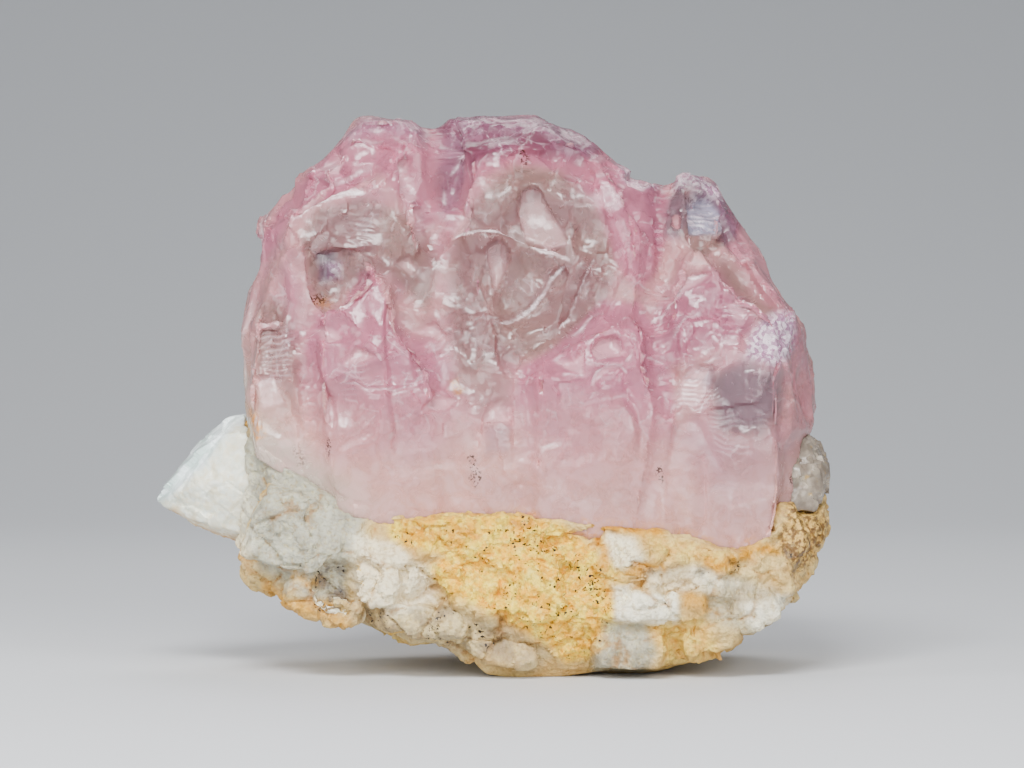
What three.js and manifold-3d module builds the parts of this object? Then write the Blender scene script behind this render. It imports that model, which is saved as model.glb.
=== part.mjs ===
// A hand specimen of etched rose quartz: a plate of upright, intergrown crystals that stands on the
// feldspar and quartz rock it grew from. Millimetres, +Z up, seen from -Y, with its foot at z = 0.
import * as THREE from "three";
import { mergeVertices } from "three/addons/utils/BufferGeometryUtils.js";
import Module from "manifold-3d";

const wasm = await Module();
wasm.setup();

// Driving dimensions
const WIDTH = 80.4; // over all, from the tip of the feldspar to the milky quartz
const HEIGHT = 66.1; // from the foot to the crest of the tallest crystal
const GAP = 0.3; // between neighbouring pieces
const FRONT_OF_SEAT = -16; // y where the seat line below is seen
const SEAT_RISE = 0.22; // the rock climbs this much for each millimetre towards the back
const REACH = 60; // longer than anything in the specimen, for cutting solids

// Each crystal is a stack of outlines: [height, left, right, front, back]
const CRYSTALS = {
  left: [
    [65.9, -16.1, -14.5, 0, 3],
    [65.3, -16.9, -9.5, -3, 5],
    [63.6, -17.8, -7.9, -5, 6.5],
    [61.3, -19.6, -6.7, -7, 8],
    [59, -22.8, -6.1, -8.5, 9],
    [56.5, -25, -5.9, -9.5, 10],
    [52.9, -27.7, -5.6, -10, 10.5],
    [48.5, -28.7, -5.4, -10.5, 11],
    [38.5, -29.8, -5.2, -11.6, 11.5],
    [29.5, -30, -4.9, -13.4, 12],
    [12, -29.2, -4.6, -15, 12],
  ],
  centre: [
    [HEIGHT, -0.4, 4.7, 1, 4],
    [65.6, -5.2, 5.8, -2, 6],
    [64.2, -6.6, 8.8, -4.5, 8.5],
    [62.4, -7.4, 12.7, -6.5, 10.5],
    [60.1, -7.6, 15.8, -8.5, 12],
    [57.8, -7.6, 19.4, -9.5, 13],
    [55.7, -7.4, 20.4, -10, 13.5],
    [52.3, -7.2, 21, -10.5, 14],
    [43.9, -6.8, 21.2, -11.6, 14.5],
    [29.5, -6.4, 21.5, -14.6, 15],
    [12, -6.4, 21.8, -16, 15],
  ],
  right: [
    [58.7, 23.6, 25.8, 1, 4],
    [58.2, 22.1, 26.6, -1, 6],
    [56.5, 20.6, 27.6, -3.5, 8],
    [54.6, 20, 28.8, -5.5, 9.5],
    [52.1, 19.6, 30.5, -7, 11],
    [49.3, 19.3, 32.4, -8, 12],
    [45.1, 19.1, 34.6, -9, 12.5],
    [40.3, 18.8, 37, -9.5, 13],
    [34.3, 18.8, 38.2, -11, 13.5],
    [28.8, 18.8, 38.3, -12, 13.5],
    [25.9, 18.8, 36.5, -12.6, 13.5],
    [21.1, 18.8, 35.5, -13.6, 13.5],
    [12, 19.4, 35, -14.6, 13.5],
  ],
  frontLeft: [
    [48.5, -14.6, -13.7, -12, -4],
    [46.8, -16.7, -12.1, -13.2, -2],
    [43.9, -20.9, -10.3, -14, 0],
    [40.1, -21.8, -7.8, -14.8, 2],
    [35.3, -22.2, -4.9, -15.4, 2],
    [29, -22.4, -3.7, -15.8, 2],
    [22.3, -21, -3.4, -16, 2],
    [12, -18.4, -3, -16, 2],
  ],
  frontCentre: [
    [42.8, 14.9, 16.8, -12.5, -5],
    [41, 11, 18.2, -13.8, -3],
    [38.5, 5.8, 19.4, -14.8, 0],
    [36.5, 3.2, 20.3, -15.4, 2],
    [31.7, 2.5, 21, -16, 2],
    [26.4, 2.3, 21, -16.2, 2],
    [21.1, 2.6, 20, -16.2, 2],
    [12, 3, 19.4, -16, 2],
  ],
  small: [
    [32.9, -0.6, 0.6, -13.2, -8],
    [31.7, -1.2, 1.3, -14, -5],
    [28.6, -1.7, 2.2, -14.6, -5],
    [24, -2.3, 2.5, -15, -5],
    [12, -2.8, 3.2, -15.4, -5],
  ],
  frontRight: [
    [50.6, 23, 24.5, -8.5, -2],
    [48.5, 21.4, 26.4, -10.5, 0],
    [44.9, 19.4, 31.1, -12, 2],
    [42, 18.8, 34.9, -13, 3],
    [36.5, 19.1, 35.4, -13.8, 3],
    [29, 19.8, 35.6, -14.2, 3],
    [21.8, 21.2, 35.3, -14.4, 3],
    [12, 22.9, 33.8, -14.4, 3],
  ],
  leftEdge: [
    [43.9, -27.5, -23.4, -9.5, -1],
    [41.5, -28.7, -22.4, -11.4, 2],
    [34.1, -29.3, -21.7, -13, 4],
    [26.6, -29, -20.6, -14.2, 4],
    [12, -27.7, -19.4, -15, 4],
  ],
  sideSliver: [
    [37.7, 36.7, 37.6, 4, 8],
    [36, 36, 38.2, 2.5, 9.5],
    [33.1, 35.5, 39, 1.5, 10],
    [31.4, 35.5, 39.2, 1.5, 10],
    [30, 35.5, 38.8, 2, 9.5],
    [28.3, 35.5, 37.9, 3, 8.5],
  ],
  backLeft: [
    [45, -21, -15, 9, 12],
    [42.5, -24, -10, 5, 14.5],
    [34, -25.5, -8, 4, 15.5],
    [12, -24.5, -7, 4, 16],
  ],
  backCentre: [
    [53, 1, 6, 10, 14],
    [49, -3, 11, 6, 16.5],
    [39, -4.5, 13, 5, 17.6],
    [12, -4, 13.5, 5, 17.8],
  ],
  backRight: [
    [46, 22, 26, 8, 13],
    [42, 19, 29, 6, 16],
    [34, 16.5, 32.5, 5, 18],
    [12, 16, 33, 5, 18.5],
  ],
  betweenLeft: [
    [57.5, -8.6, -4.6, -4, 4],
    [54.5, -10, -3.2, -7, 8],
    [48, -11, -2.4, -9.4, 11],
    [38, -11.6, -2, -12.8, 12.5],
    [27, -12, -1.6, -14.8, 13],
    [12, -12.4, -1.4, -16, 13],
  ],
  betweenRight: [
    [50.6, 19.4, 21.2, -3, 4],
    [48, 17.6, 22.6, -6.4, 8],
    [42, 16.6, 23.6, -9, 11],
    [34, 16, 24.4, -13, 13],
    [26, 15.6, 25, -14.8, 13],
    [12, 15.4, 25.4, -16, 13],
  ],
};

// Shell-shaped break scars: [azimuth seen from, across, height, wide, tall, deep, turn]. Azimuth 0 is
// the front and 90 the right-hand side, across runs to the viewer's right, and turn is clockwise.
const CRYSTAL_SCARS = [
  [0, -13.5, 64.4, 9, 4, 0.9, 10],
  [0, -22.6, 57.6, 6, 7, 1, 35],
  [0, 0.5, 64.4, 8, 4, 0.9, -10],
  [0, 9.6, 61.6, 9, 6, 1, 20],
  [0, 16.6, 58, 6, 5, 0.8, 40],
  [0, 26.4, 56.2, 4, 5, 0.7, 30],
  [0, -15, 54, 15, 7.5, 1.5, -12],
  [0, -15.5, 61.6, 8, 6, 1, 30],
  [0, -9.2, 60, 4, 11, 1, -10],
  [0, -18.8, 47.4, 7, 8, 1.6, 20],
  [0, -25.5, 53.5, 5, 9, 0.9, 40],
  [0, -26, 45, 6, 7, 0.8, 0],
  [0, -4.8, 56.8, 5, 13, 1.4, 14],
  [0, 3.2, 60.4, 13, 6, 1.1, -8],
  [0, 4.8, 54.2, 10, 8.5, 1.7, 25],
  [0, 3.4, 46.4, 12.5, 10.5, 1.9, 0],
  [0, 12.4, 53, 7, 13, 1.2, -18],
  [0, 17.6, 55.4, 5, 8, 1, -25],
  [0, 11.6, 45, 7.5, 9, 1.2, 30],
  [0, 24.3, 54, 5.2, 6.6, 1.1, 0],
  [0, 30.2, 46.6, 6, 11, 1, -30],
  [0, 36, 36, 3.5, 10, 0.8, 0],
  [0, -18.4, 41, 5.5, 4.4, 0.9, 15],
  [0, -8.4, 40.6, 7, 5, 0.9, 30],
  [0, -11, 35.5, 11, 5.5, 0.9, -8],
  [0, -18, 32, 6.5, 6, 0.7, 0],
  [0, -7, 30, 5, 7, 0.7, 20],
  [0, 7, 37, 6, 4, 0.8, -20],
  [0, 13.8, 39, 6, 3.8, 0.9, 10],
  [0, 17.8, 32, 5, 11, 0.8, -8],
  [0, 8, 28, 10, 7, 0.6, 12],
  [0, 24.8, 45.6, 9.5, 7, 1, -25],
  [0, 32, 40.4, 7, 5.5, 0.9, 0],
  [0, 27.6, 33, 11, 9.5, 1.1, 20],
  [0, 22.4, 36.2, 5.5, 5, 0.8, 0],
  [0, 29.8, 23.6, 11, 7, 0.7, -15],
  [90, 0, 46, 12, 10, 1.4, 0],
  [90, 4, 35, 9, 9, 1, 30],
  [60, 19, 47, 8, 7, 1.2, 0],
  [270, 0, 50, 10, 9, 1.3, 20],
  [270, -3, 38, 9, 8, 1, 0],
  [180, -3, 59, 14, 8, 1.5, 10],
  [180, 15, 58, 10, 9, 1.3, -15],
  [180, -13, 50, 10, 10, 1.4, 20],
  [180, 18, 47, 12, 9, 1.4, 0],
  [180, 0, 43, 12, 9, 1.3, -20],
  [180, -27, 46, 8, 10, 1.2, 25],
  [180, -24, 33, 10, 9, 1, 0],
  [180, 14, 35, 11, 8, 1, 15],
  [180, -4, 32, 9, 8, 0.9, -10],
  [180, 14, 63.4, 10, 5, 1.2, 0],
  [180, 22, 57, 8, 8, 1.1, -30],
  [180, -13, 60, 10, 7, 1.2, -20],
  [180, -25, 55, 6, 7, 1, 20],
  [90, -6, 53, 9, 9, 1, 10],
  [90, 7, 50, 8, 8, 1, -20],
  [90, -5, 34, 8, 10, 0.8, 0],
  [270, 5, 57, 9, 9, 1.2, 10],
  [270, -7, 46, 8, 10, 1, 0],
  [270, 7, 36, 10, 10, 1, 10],
];

// The line where crystals and rock meet, seen from the front: [across, height]
const SEAT = [
  [-30.6, 31.3],
  [-29.2, 29],
  [-27.7, 26.4],
  [-24.1, 24.2],
  [-20.5, 22.1],
  [-16.9, 20.2],
  [-12.8, 19.2],
  [-7.6, 18.8],
  [-2.8, 19.2],
  [2.3, 19.4],
  [6.4, 18.8],
  [11.9, 18],
  [17.6, 17.6],
  [23.2, 16.6],
  [27.5, 15.1],
  [30.4, 15],
  [32.5, 16.2],
  [34.9, 17.9],
  [36.8, 17.5],
];

// The rock is a row of outlines from left to right: [across, foot, top, front, back]
const ROCK = [
  [-29.8, 14.3, 30.5, -8.4, 7.5],
  [-28.2, 10.6, 33, -11.2, 9],
  [-25.4, 9.4, 35, -13.5, 11],
  [-21.7, 7.2, 35, -14.8, 13],
  [-17.8, 6.4, 34, -15.6, 14.5],
  [-13.6, 5, 33, -16.3, 16],
  [-9.6, 3.8, 32, -16.6, 17],
  [-6.4, 4.2, 32, -16.8, 18],
  [-3, 1.8, 32, -16.8, 18.8],
  [-0.6, -0.4, 32, -16.8, 19.2],
  [3.2, -0.7, 32, -16.8, 19.6],
  [8, -0.9, 32, -16.8, 19.8],
  [14, -0.9, 32, -16.6, 19.8],
  [19.4, -0.4, 32, -16.5, 19.8],
  [23.6, 1.3, 31, -16.1, 19.6],
  [28.2, 3.8, 30, -15.5, 19],
  [32.6, 6, 29, -14.6, 17.4],
  [35.4, 8.9, 28, -13.1, 15],
  [38.3, 13.4, 27, -10.1, 12],
  [39.8, 16.3, 22.3, -5.6, 7],
];

// Feldspar blocks and rounded lumps of the rock: [across, depth, height, wide, deep, tall, turn]
const ROCK_LUMPS = [
  [17.6, -15.4, 9, 10, 6.4, 4.6, -4],
  [18.5, -15.6, 14.2, 9.5, 5.4, 3.4, 6],
  [7.6, -16, 15.6, 5, 4.6, 5, 0],
  [16, -13.6, 3.6, 9, 7, 5.4, 0],
  [25, -13.5, 5.6, 7.5, 6, 6, -20],
  [26.5, -14.6, 12.6, 7, 5, 6.5, 10],
  [30.6, -13, 8.2, 6, 6, 5, -20],
  [-13.4, -15.8, 12.2, 6.6, 5, 7, 15],
  [-8, -14.2, 6.8, 11, 7, 4, 10],
  [1, -13, 3.4, 9, 7, 4, 14],
  [-20.4, -13.6, 9.4, 8, 6, 4.4, 18],
  [-27, -4, 12, 5, 9, 5, 30],
  [34.6, -11, 17.2, 3.8, 4.4, 7, -16],
  [-22.5, -14, 17, 12, 6, 10, 20],
  [4.5, -16.6, 10.5, 9, 4.4, 7, 10],
  [22.6, -15.2, 9, 5, 5, 5, 0],
  [33.4, -11.4, 11.6, 5, 5, 5, -30],
  [-17.6, -15, 8.4, 5, 5, 4.4, 0],
  [6, 17, 16, 12, 6, 9, 0],
  [-12, 14.5, 18, 11, 6, 8, 20],
  [24, 15.5, 14, 12, 6, 9, -15],
  [2, 15, 6, 10, 7, 6, 0],
];

const ROCK_SCARS = [
  [0, -26.4, 15, 8, 9, 0.9, 30],
  [0, -18.4, 19, 7, 6, 0.8, 10],
  [0, -11.6, 17, 9, 5, 0.8, 10],
  [0, 10.4, 16.4, 8, 4, 0.7, 0],
  [0, 29.8, 11.6, 6, 5, 0.8, 0],
  [0, 33.6, 14.6, 5, 5, 0.7, 0],
  [0, -2, 11.5, 11, 8, 1, -20],
  [0, 12.6, 12, 6, 7, 0.8, 0],
  [0, -17.5, 11, 6, 6, 0.9, 0],
  [0, 22, 11.5, 5, 4, 0.8, 0],
  [90, 0, 13, 14, 8, 1.8, 0],
  [180, -28, 14, 10, 10, 1.5, 0],
  [180, -14, 12, 12, 9, 1.5, 15],
  [180, 13, 11, 12, 9, 1.6, -15],
  [180, 24, 20, 10, 9, 1.4, 0],
  [180, -2, 22, 10, 7, 1.2, 0],
];

// The feldspar block at the left, from its tip inwards: [across, foot, top, front, back]
const FELDSPAR = [
  [-WIDTH / 2, 19.9, 20.6, -2, 1],
  [-38.5, 18.6, 22.9, -5, 3.5],
  [-35.6, 16.6, 27.1, -8, 6],
  [-32.6, 15.4, 29.9, -9.4, 7.5],
  [-29.6, 14.2, 30.3, -10, 8],
  [-26, 13.2, 30.4, -10, 8],
];
const FELDSPAR_END = { across: -29.6, height: 21.9, lean: 4 }; // where it meets the rock, lean in degrees

const MILKY_QUARTZ = [
  [28.7, 37.7, 38.5, -3, 5],
  [27.8, 36.8, 38.9, -5.5, 7],
  [26.4, 35.6, 39.6, -7.5, 8.5],
  [24, 34.6, WIDTH / 2, -9, 9.5],
  [19.9, 34, WIDTH / 2, -9.5, 10],
  [12, 34, 40, -9.5, 10],
];

const SHAPE = {
  crystal: { sides: 10, squareness: 4, unevenness: 0.035 },
  rock: { sides: 14, squareness: 5, unevenness: 0.05 },
  feldspar: { sides: 8, squareness: 2.4, unevenness: 0.03 },
  milky: { sides: 10, squareness: 2.6, unevenness: 0.03 },
};

const LUMP_ROUND = 0.62; // of a lump's size: corners further out than this are drawn in to it
const LUMP_CHIPPED = 0.05; // how far a lump's corners stand in or out, as a share of its size

// A scar is the cap of an ellipsoid, from this share of its half depth outwards. Its rim is there.
const CAP_FROM = 0.6;
const CAP_RIM = Math.sqrt(1 - CAP_FROM ** 2);

// A repeatable number from -1 to 1 for a place
function uneven(x, y, z) {
  const wave = Math.sin(x * 12.99 + y * 78.23 + z * 37.72) * 43758.55;
  return 2 * (wave - Math.floor(wave)) - 1;
}

// A closed stack of rounded outlines, on the rows of a cylinder. Each row is [along, low, high, near,
// far]; along, across and depth are the axes that those numbers are measured on.
function stack(rows, shape, axes, grow = 0) {
  const last = rows.length - 1;
  const geometry = new THREE.CylinderGeometry(1, 1, last, shape.sides, last);
  const place = geometry.attributes.position;
  const point = new THREE.Vector3();
  for (let i = 0; i < place.count; i++) {
    point.fromBufferAttribute(place, i);
    const k = Math.round(last / 2 - point.y);
    const [along, low, high, near, far] = rows[k];
    const radius = Math.hypot(point.x, point.z);
    const [c, s] = radius > 0.5 ? [point.x / radius, point.z / radius] : [0, 0];
    const power = shape.squareness;
    const squared = radius > 0.5 ? (Math.abs(c) ** power + Math.abs(s) ** power) ** (-1 / power) : 0;
    const side = Math.round((Math.atan2(s, c) / Math.PI) * shape.sides);
    const bump = 1 + shape.unevenness * uneven(k, (side + 2 * shape.sides) % (2 * shape.sides), along);
    const end = k === 0 ? grow : k === last ? -grow : 0;
    const values = [
      along + Math.sign(rows[0][0] - rows[last][0]) * end,
      (low + high) / 2 + ((high - low) / 2 + grow) * squared * c * bump,
      (near + far) / 2 + ((far - near) / 2 + grow) * squared * s * bump,
    ];
    axes.forEach((axis, n) => point.setComponent(axis, values[n]));
    place.setXYZ(i, point.x, point.y, point.z);
  }
  return geometry;
}
const UPRIGHT = [2, 0, 1]; // rows climb along Z, and run across X and deep along Y
const SIDEWAYS = [0, 2, 1]; // rows run along X

function solidOf(geometry) {
  const bare = geometry.clone();
  bare.deleteAttribute("normal");
  bare.deleteAttribute("uv");
  const merged = mergeVertices(bare, 1e-4);
  const mesh = new wasm.Mesh({
    numProp: 3,
    vertProperties: new Float32Array(merged.attributes.position.array),
    triVerts: new Uint32Array(merged.index.array),
  });
  mesh.merge();
  const solid = new wasm.Manifold(mesh);
  return solid.volume() < 0 ? solidOf(flipped(merged)) : solid;
}

function flipped(geometry) {
  const index = geometry.index.array;
  for (let i = 0; i < index.length; i += 3) {
    [index[i + 1], index[i + 2]] = [index[i + 2], index[i + 1]];
  }
  return geometry;
}

function geometryOf(solid) {
  const { vertProperties, triVerts, numProp } = solid.getMesh();
  const places = new Float32Array((vertProperties.length / numProp) * 3);
  for (let i = 0; i < places.length / 3; i++) {
    places.set(vertProperties.subarray(i * numProp, i * numProp + 3), i * 3);
  }
  const geometry = new THREE.BufferGeometry();
  geometry.setAttribute("position", new THREE.BufferAttribute(places, 3));
  geometry.setIndex(new THREE.BufferAttribute(triVerts, 1));
  geometry.computeVertexNormals();
  return geometry;
}

const joined = (solids) => solids.reduce((whole, solid) => whole.add(solid));

function box(low, high) {
  const size = high.map((value, i) => value - low[i]);
  const middle = high.map((value, i) => (value + low[i]) / 2);
  return new THREE.BoxGeometry(...size).translate(...middle);
}

// Scoops a scar, as the cap of an ellipsoid, wherever a line from the given side first meets the solid
function scarred(solid, scars) {
  const target = new THREE.Mesh(geometryOf(solid), new THREE.MeshBasicMaterial());
  const scoops = scars.map(([azimuth, across, height, wide, tall, deep, turn]) => {
    const angle = THREE.MathUtils.degToRad(azimuth);
    const outward = new THREE.Vector3(Math.sin(angle), -Math.cos(angle), 0);
    const start = new THREE.Vector3(Math.cos(angle), Math.sin(angle), 0)
      .multiplyScalar(across)
      .addScaledVector(outward, REACH)
      .setZ(height);
    const ray = new THREE.Raycaster(start, outward.clone().negate());
    const [hit] = ray.intersectObject(target);
    const facing = hit.face.normal.clone().add(outward).normalize();
    const upright = new THREE.Quaternion().setFromUnitVectors(new THREE.Vector3(0, -1, 0), facing);
    const halfDepth = deep / (1 - CAP_FROM);
    const scoop = new THREE.IcosahedronGeometry(1, 1)
      .scale(wide / 2 / CAP_RIM, halfDepth, tall / 2 / CAP_RIM)
      .rotateY(THREE.MathUtils.degToRad(turn))
      .applyQuaternion(upright)
      .translate(...hit.point.addScaledVector(facing, CAP_FROM * halfDepth).toArray());
    return solidOf(scoop);
  });
  return solid.subtract(joined(scoops));
}

// Everything below the seat, raised by a little to part crystals from rock
function belowSeat(raise) {
  const outline = new THREE.Shape();
  outline.moveTo(-REACH, -REACH);
  outline.lineTo(-REACH, SEAT[0][1] + raise);
  SEAT.forEach(([across, height]) => outline.lineTo(across, height + raise));
  outline.lineTo(REACH, SEAT[SEAT.length - 1][1] + raise);
  outline.lineTo(REACH, -REACH);
  const slab = new THREE.ExtrudeGeometry(outline, { depth: REACH, bevelEnabled: false });
  slab.rotateX(Math.PI / 2).translate(0, REACH / 2, 0);
  const tilt = new THREE.Matrix4().set(
    1, 0, 0, 0,
    0, 1, 0, 0,
    0, SEAT_RISE, 1, -SEAT_RISE * FRONT_OF_SEAT,
    0, 0, 0, 1,
  );
  return solidOf(slab.applyMatrix4(tilt));
}

function crystals(grow) {
  const rows = Object.values(CRYSTALS);
  return joined(rows.map((each) => solidOf(stack(each, SHAPE.crystal, UPRIGHT, grow))));
}

function lump([across, depth, height, wide, deep, tall, turn], grow = 0) {
  const size = [wide + 2 * grow, deep + 2 * grow, tall + 2 * grow];
  const block = new THREE.BoxGeometry(...size, 2, 2, 2);
  const place = block.attributes.position;
  for (let i = 0; i < place.count; i++) {
    const [x, y, z] = [place.getX(i), place.getY(i), place.getZ(i)];
    const out = Math.hypot(x / size[0], y / size[1], z / size[2]);
    const round = LUMP_ROUND / Math.max(out, LUMP_ROUND);
    const chip = uneven(Math.sign(x), Math.sign(y), Math.sign(z) + across);
    const bump = round * (1 + LUMP_CHIPPED * chip);
    place.setXYZ(i, x * bump, y * bump, z * bump);
  }
  return solidOf(block.rotateY(THREE.MathUtils.degToRad(turn)).translate(across, depth, height));
}

// Everything left of the feldspar block's inner end, shifted by a little to part it from the rock
function leftOfFeldsparEnd(shift) {
  const half = box([-2 * REACH, -REACH, -REACH], [0, REACH, REACH]);
  half.rotateY(THREE.MathUtils.degToRad(FELDSPAR_END.lean));
  return solidOf(half.translate(FELDSPAR_END.across + shift, 0, FELDSPAR_END.height));
}

const aboveGround = solidOf(box([-REACH, -REACH, 0], [REACH, REACH, 2 * REACH]));
const withRoom = crystals(GAP);
const lumps = ROCK_LUMPS.map((each) => lump(each));
const lumpsWithRoom = joined(ROCK_LUMPS.map((each) => lump(each, 2 * GAP)));

const rose = scarred(crystals(0), CRYSTAL_SCARS).subtract(belowSeat(GAP)).subtract(lumpsWithRoom);
const rockBody = solidOf(stack(ROCK, SHAPE.rock, SIDEWAYS)).intersect(belowSeat(0));
const rock = scarred(joined([rockBody, ...lumps]), ROCK_SCARS)
  .intersect(aboveGround)
  .subtract(leftOfFeldsparEnd(GAP));
const feldspar = solidOf(stack(FELDSPAR, SHAPE.feldspar, SIDEWAYS))
  .intersect(leftOfFeldsparEnd(0))
  .subtract(withRoom);
const milky = solidOf(stack(MILKY_QUARTZ, SHAPE.milky, UPRIGHT))
  .subtract(belowSeat(GAP))
  .subtract(withRoom)
  .subtract(lumpsWithRoom);

// The largest body of a solid, without crumbs that a cut has left loose
function largest(solid) {
  return solid.decompose().sort((a, b) => b.volume() - a.volume())[0];
}

function piece(name, solid, color, roughness, opacity = 1) {
  const material = new THREE.MeshStandardMaterial({ color, roughness, metalness: 0, flatShading: true });
  Object.assign(material, { opacity, transparent: opacity < 1 });
  const mesh = new THREE.Mesh(geometryOf(largest(solid)), material);
  mesh.name = name;
  return mesh;
}

const specimen = new THREE.Group();
specimen.name = "rose_quartz_specimen";
specimen.add(
  piece("rose_quartz_crystals", rose, 0xcda2aa, 0.15, 0.85),
  piece("matrix_rock", rock, 0xded0b2, 0.8),
  piece("feldspar_block", feldspar, 0xe6ece8, 0.5),
  piece("milky_quartz", milky, 0xb4aca6, 0.25, 0.9),
);

// The middle of its base is the origin
const overall = new THREE.Box3().setFromObject(specimen);
const middle = overall.getCenter(new THREE.Vector3());
specimen.position.set(-middle.x, -middle.y, -overall.min.z);

export default specimen;
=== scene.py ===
import math

import bmesh
import bpy
import numpy as np
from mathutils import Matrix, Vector


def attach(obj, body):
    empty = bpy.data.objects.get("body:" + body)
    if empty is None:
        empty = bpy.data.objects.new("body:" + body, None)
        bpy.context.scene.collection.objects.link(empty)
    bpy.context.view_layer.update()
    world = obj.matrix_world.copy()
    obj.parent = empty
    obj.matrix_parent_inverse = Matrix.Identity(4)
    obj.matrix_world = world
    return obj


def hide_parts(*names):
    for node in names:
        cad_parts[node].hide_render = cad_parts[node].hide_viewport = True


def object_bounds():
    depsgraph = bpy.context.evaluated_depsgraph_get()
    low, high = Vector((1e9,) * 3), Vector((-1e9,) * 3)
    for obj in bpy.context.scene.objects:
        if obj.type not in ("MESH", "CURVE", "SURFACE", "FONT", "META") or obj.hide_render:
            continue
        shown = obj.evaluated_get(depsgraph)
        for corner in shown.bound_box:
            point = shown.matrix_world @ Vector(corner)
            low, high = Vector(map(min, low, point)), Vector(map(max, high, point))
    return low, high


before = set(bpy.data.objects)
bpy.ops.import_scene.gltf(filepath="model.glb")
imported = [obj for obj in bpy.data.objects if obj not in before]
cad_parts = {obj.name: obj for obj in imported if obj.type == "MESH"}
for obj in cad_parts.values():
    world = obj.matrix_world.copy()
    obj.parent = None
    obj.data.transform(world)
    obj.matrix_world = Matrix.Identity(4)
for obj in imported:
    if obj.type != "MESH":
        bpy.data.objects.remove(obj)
cad_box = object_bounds()

MM = 0.001

# How the photograph sees the specimen: places in it are (across, down) in its 1024 x 768 pixels
PHOTO_SIZE = (1024, 768)
PIXEL = 0.12  # millimetres at the specimen's outline
FOOT_PIXEL = (492.8, 666)  # the point where x and z are 0

# Camera: a long lens, level with the specimen and looking down on it a little
LENS = 150.0
SENSOR = 36.0
LOOKING_DOWN = 2.0  # degrees

VOXEL = 0.3  # millimetres between the points of a crystal's or rock's skin
CLOSING_VOXEL = 0.5
MOST_TRIANGLES = 190_000  # in one piece
CREASE = math.radians(38)  # edges sharper than this stay crisp
STRAY = (0.2, 0.35)  # millimetres from the mean of a point's neighbours, where it starts and ends to go back
CALM_ROUNDS = 4
QUARTZ_IOR = 1.544
FELDSPAR_IOR = 1.53


def placed(across, down):
    """x and z in millimetres of a place in the photograph."""
    return (across - FOOT_PIXEL[0]) * PIXEL, (FOOT_PIXEL[1] - down) * PIXEL


def seen(points):
    """The places in the photograph of points in millimetres."""
    return np.stack([FOOT_PIXEL[0] + points[:, 0] / PIXEL, FOOT_PIXEL[1] - points[:, 2] / PIXEL], axis=1)


# Camera, floor and light
def add_camera():
    data = bpy.data.cameras.new("camera")
    data.lens = LENS
    data.sensor_width = SENSOR
    data.clip_start = 0.01
    camera = bpy.data.objects.new("camera", data)
    x, z = placed(PHOTO_SIZE[0] / 2, PHOTO_SIZE[1] / 2)
    distance = PHOTO_SIZE[0] * PIXEL / SENSOR * LENS
    tilt = math.radians(LOOKING_DOWN)
    camera.location = (x * MM, -distance * math.cos(tilt) * MM, (z + distance * math.sin(tilt)) * MM)
    camera.rotation_euler = (math.pi / 2 - tilt, 0, 0)
    bpy.context.scene.collection.objects.link(camera)
    bpy.context.scene.camera = camera


def add_floor():
    """A pale floor that sweeps up behind the specimen."""
    half_width, behind, ahead, height, bend = 1.6, 0.7, 1.2, 1.4, 0.45
    bm = bmesh.new()
    bmesh.ops.create_grid(bm, x_segments=1, y_segments=1, size=1)
    bmesh.ops.scale(bm, vec=(half_width, (behind + ahead) / 2, 1), verts=bm.verts)
    bmesh.ops.translate(bm, vec=(0, (behind - ahead) / 2, 0), verts=bm.verts)
    far = max(bm.edges, key=lambda edge: sum(v.co.y for v in edge.verts))
    wall = bmesh.ops.extrude_edge_only(bm, edges=[far])["geom"]
    bmesh.ops.translate(bm, vec=(0, 0, height), verts=[v for v in wall if isinstance(v, bmesh.types.BMVert)])
    bmesh.ops.bevel(bm, geom=[far], offset=bend, segments=24, profile=0.5, affect="EDGES", material=-1)
    bmesh.ops.recalc_face_normals(bm, faces=bm.faces)
    mesh = bpy.data.meshes.new("floor")
    bm.to_mesh(mesh)
    bm.free()
    mesh.shade_smooth()
    floor = bpy.data.objects.new("floor", mesh)
    bpy.context.scene.collection.objects.link(floor)
    floor.data.materials.append(plain_material("pale_paper", (0.66, 0.68, 0.71), 0.8))


def plain_material(name, color, roughness):
    material = bpy.data.materials.new(name)
    material.use_nodes = True
    shader = material.node_tree.nodes["Principled BSDF"]
    shader.inputs["Base Color"].default_value = (*color, 1)
    shader.inputs["Roughness"].default_value = roughness
    return material


# Softboxes: azimuth from the front, towards +x, and elevation, in degrees, then distance, width and height in
# metres, watts, and colour
SOFTBOXES = {
    "above": (-12, 44, 0.38, 0.18, 0.09, 1.8, (1, 1, 1)),
    "front left": (-30, 20, 0.44, 0.14, 0.16, 0.6, (1, 1, 1)),
    "front right": (34, 24, 0.42, 0.12, 0.14, 0.68, (1, 1, 1)),
    "left": (-74, 22, 0.4, 0.08, 0.2, 0.5, (1, 0.99, 0.97)),
    "front": (10, 12, 0.5, 0.3, 0.2, 1.1, (1, 1, 1)),
    "behind": (168, 58, 0.4, 0.26, 0.2, 0.7, (1, 0.98, 0.97)),
}
SKY = (0.82, 0.86, 0.92)
SKY_STRENGTH = 0.2


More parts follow.
